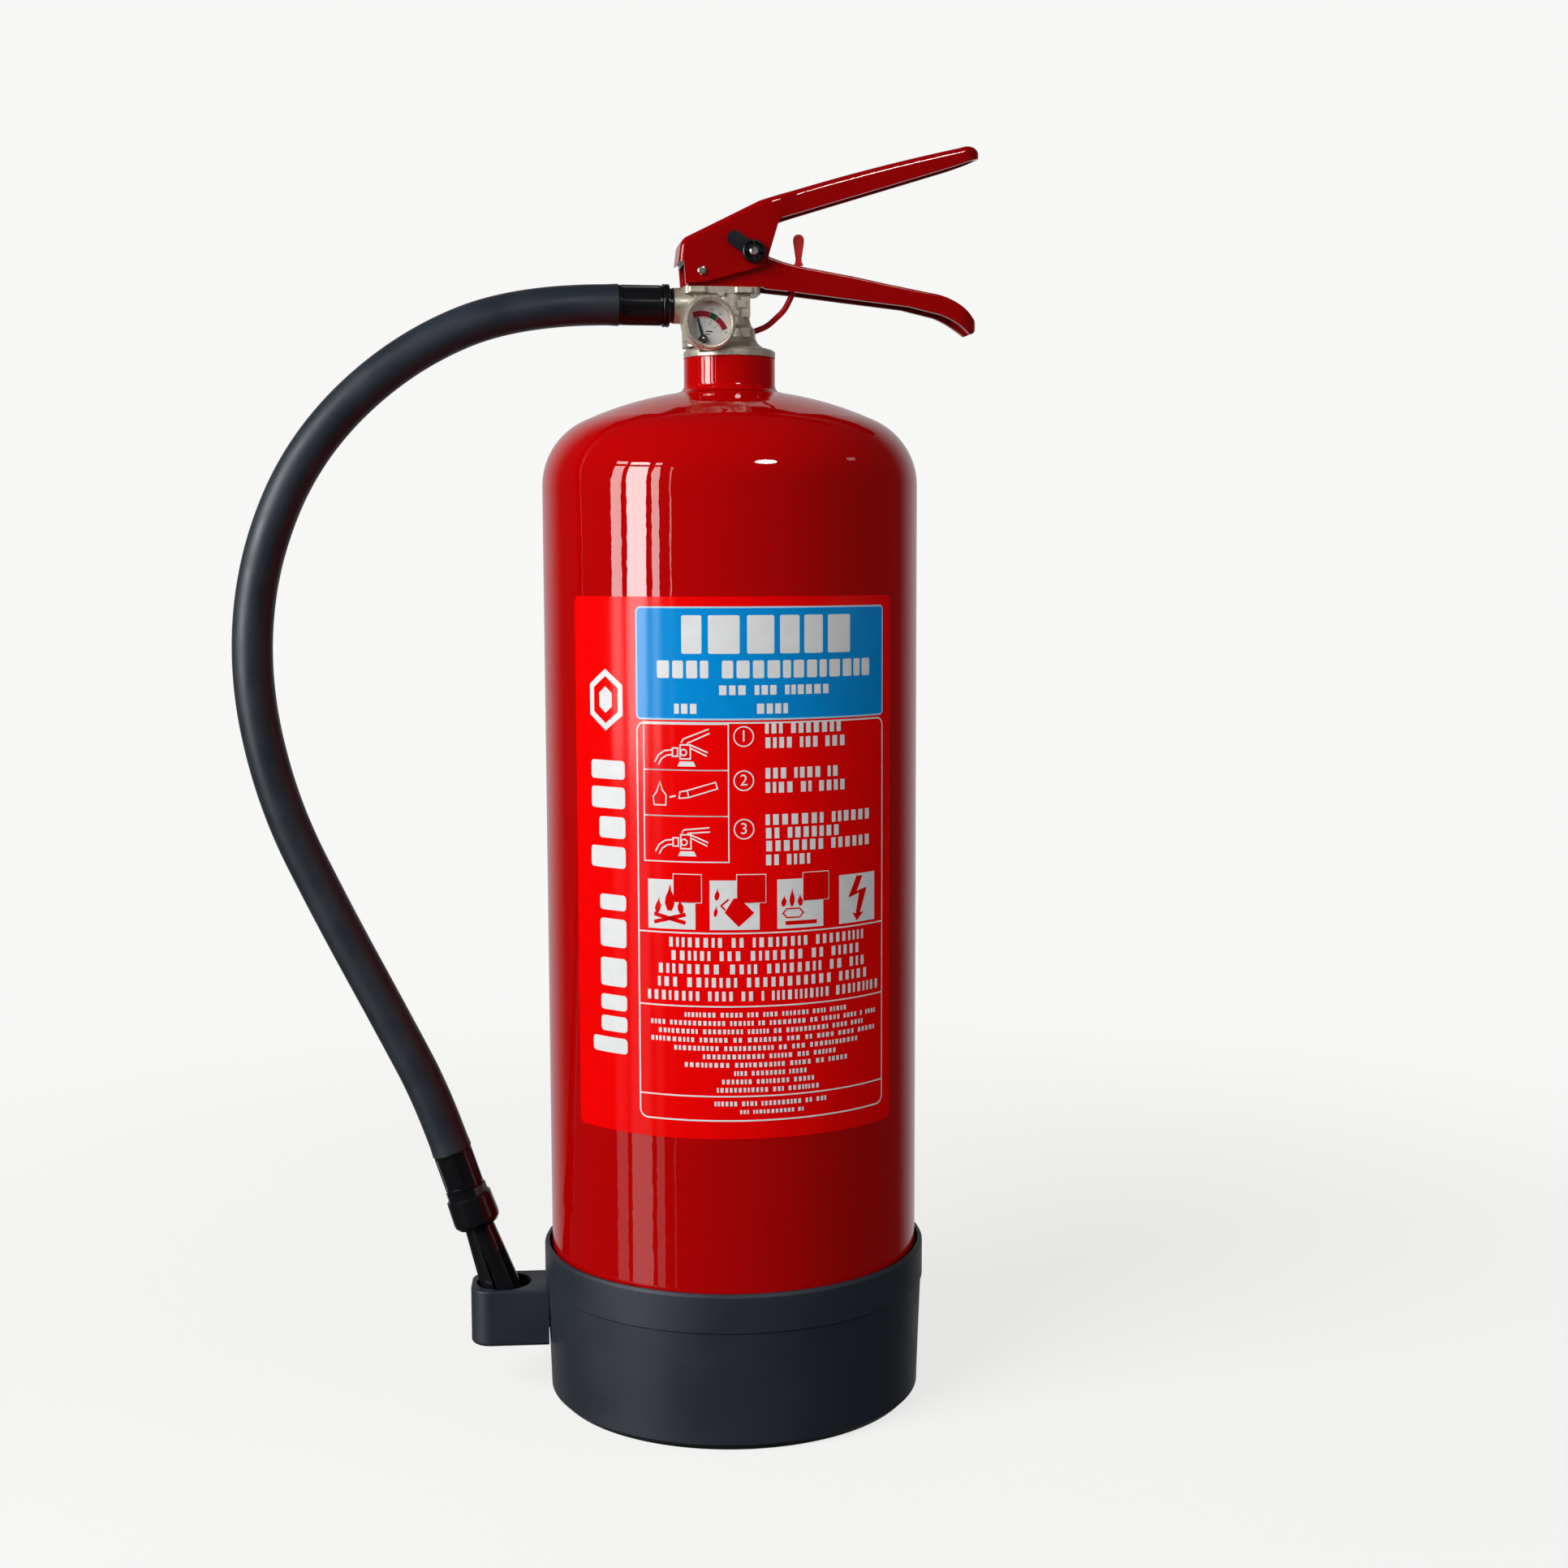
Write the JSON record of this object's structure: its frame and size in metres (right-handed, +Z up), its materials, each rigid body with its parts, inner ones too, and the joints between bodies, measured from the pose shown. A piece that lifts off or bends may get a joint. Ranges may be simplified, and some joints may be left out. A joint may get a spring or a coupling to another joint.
{
  "type": "fire extinguisher",
  "caption": "Portable stored-pressure powder fire extinguisher: red steel cylinder, squeeze-grip valve with gauge, side hose with nozzle in a holder on the black boot.",
  "frame": {"origin": "centre of the foot on the floor, on the cylinder's axis", "axes": "+Z up along the cylinder, +X the way the handles point, -X the hose side, -Y the front with gauge and label"},
  "size_m": [0.3193, 0.1666, 0.5395],
  "materials": {
    "red_paint": "gloss",
    "handle_red": "gloss",
    "label_film": "gloss",
    "boot_plastic": "satin",
    "hose_rubber": "satin",
    "fitting_plastic": "gloss",
    "clip_plastic": "satin",
    "nickel_brass": "satin",
    "gauge_metal": "polished",
    "brass": "satin",
    "steel": "polished",
    "seal_red": "gloss",
    "seal_rubber": "matte",
    "dial_white": "satin",
    "gauge_black": "matte",
    "clear_lens": "polished",
    "pvc": "satin",
    "powder": "matte"
  },
  "bodies": {
    "vessel": {"cylinder_shell": "red_paint", "bottom_dome": "red_paint", "neck_ring": "red_paint", "neck_seal": "seal_rubber", "powder_charge": "powder", "dip_tube": "pvc", "base_boot": "boot_plastic", "nozzle_holder": "boot_plastic", "label": "label_film", "valve_body": "nickel_brass", "stem_gland": "seal_rubber", "stem_spring": "steel", "gauge_case": "gauge_metal", "gauge_bezel": "gauge_metal", "gauge_lens": "clear_lens", "gauge_dial": "dial_white", "gauge_movement": "brass", "gauge_seal": "seal_rubber", "carry_handle": "handle_red", "pivot_pin": "steel", "handle_rivet": "steel", "tamper_seal": "seal_red", "outlet_washer": "seal_rubber", "hose_nut": "fitting_plastic", "hose_nipple": "brass", "upper_ferrule": "fitting_plastic", "hose": "hose_rubber"},
    "lever": {"squeeze_lever": "handle_red", "pin_keeper": "clip_plastic"},
    "stem": {"valve_stem": "brass", "stem_seal": "seal_rubber"},
    "pin": {"safety_pin": "steel", "pull_ring": "clip_plastic"},
    "needle": {"gauge_needle": "gauge_black"},
    "nozzle_end": {"lower_ferrule": "fitting_plastic", "nozzle_cap_ring": "fitting_plastic", "nozzle_collar": "fitting_plastic", "nozzle": "fitting_plastic"}
  },
  "joints": [
    {"name": "lever_squeeze", "type": "hinge", "parent": "vessel", "child": "lever", "pos_m": [-0.0128, 0, 0.4846], "axis": [0, 1, 0], "range_deg": [0, 9.5], "stiffness_Nm_per_rad": 6, "springref_deg": -2.86},
    {"name": "stem_press", "type": "slide", "parent": "vessel", "child": "stem", "axis": [0, 0, -1], "range_m": [0, 0.0034], "deforming": ["stem_spring"]},
    {"name": "pin_pull", "type": "slide", "parent": "lever", "child": "pin", "axis": [0, 1, 0], "range_m": [0, 0.04]},
    {"name": "needle_swing", "type": "hinge", "parent": "vessel", "child": "needle", "pos_m": [-0.01365, -0.01955, 0.4553], "axis": [-0.1392, 0.9903, 0], "range_deg": [0, 83], "stiffness_Nm_per_rad": 0.002, "springref_deg": -5.73},
    {"name": "nozzle_lift", "type": "slide", "parent": "vessel", "child": "nozzle_end", "axis": [-0.3128, 0.0274, 0.9494], "range_m": [0, 0.045], "deforming": ["hose"]}
  ],
  "couplings": [
    {"joint": "stem_press", "follows": "lever_squeeze", "m_per_rad": 0.0205}
  ]
}
